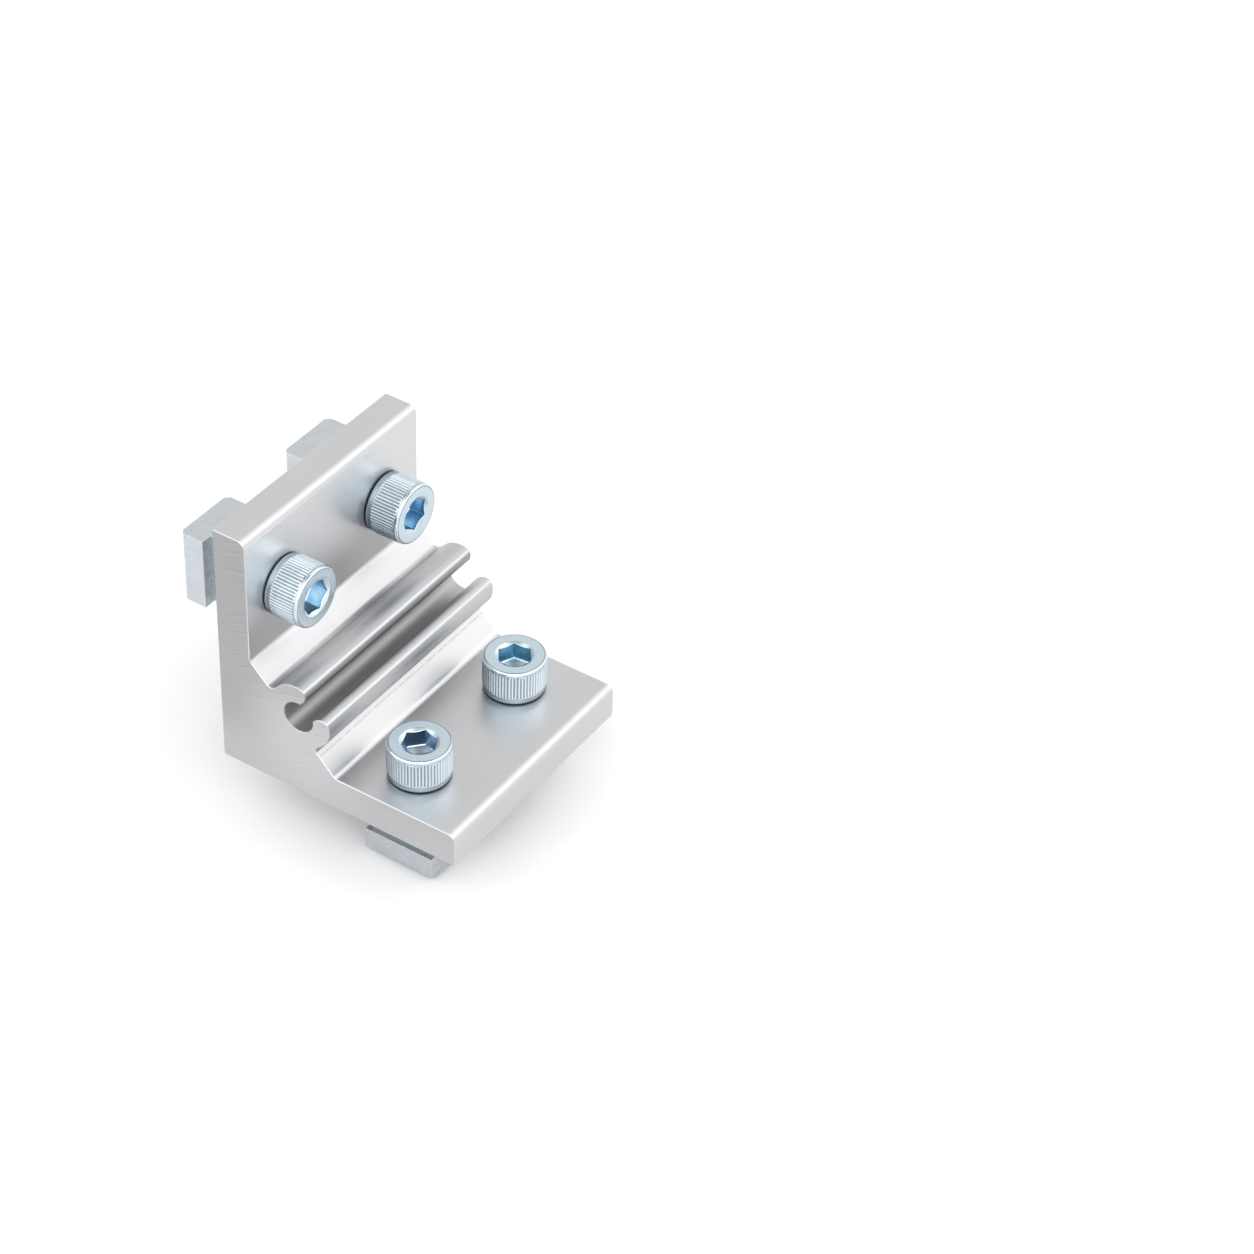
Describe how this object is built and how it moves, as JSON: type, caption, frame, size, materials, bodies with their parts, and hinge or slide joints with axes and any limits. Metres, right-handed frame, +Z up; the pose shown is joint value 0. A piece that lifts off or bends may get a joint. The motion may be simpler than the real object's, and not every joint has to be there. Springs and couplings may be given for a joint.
{
  "type": "t slot corner bracket",
  "caption": "Extruded aluminium corner bracket for slotted framing, with a keyhole screw channel on its 45 degree web, socket head screws and T nuts.",
  "frame": {"origin": "on the heel edge, where the two mating faces meet, half way along the cut length", "axes": "+X out along the foot, +Z up the upright leg, +Y along the extrusion; the foot's mating face is z = 0 and faces -Z, the upright leg's is x = 0 and faces -X"},
  "size_m": [0.0855, 0.068, 0.0855],
  "materials": {
    "extrusion": "satin natural anodised extrusion with faint die lines along its length; the two sawn ends show fine saw marks",
    "zinc_screw": "bright bluish zinc plate, knurled head",
    "zinc_nut": "zinc plate, slightly duller than the screws"
  },
  "bodies": {
    "root": {"bracket": "extrusion", "foot_screw_left": "zinc_screw", "foot_screw_right": "zinc_screw", "upright_screw_left": "zinc_screw", "upright_screw_right": "zinc_screw", "foot_t_nut_left": "zinc_nut", "foot_t_nut_right": "zinc_nut", "upright_t_nut_left": "zinc_nut", "upright_t_nut_right": "zinc_nut"}
  },
  "joints": []
}
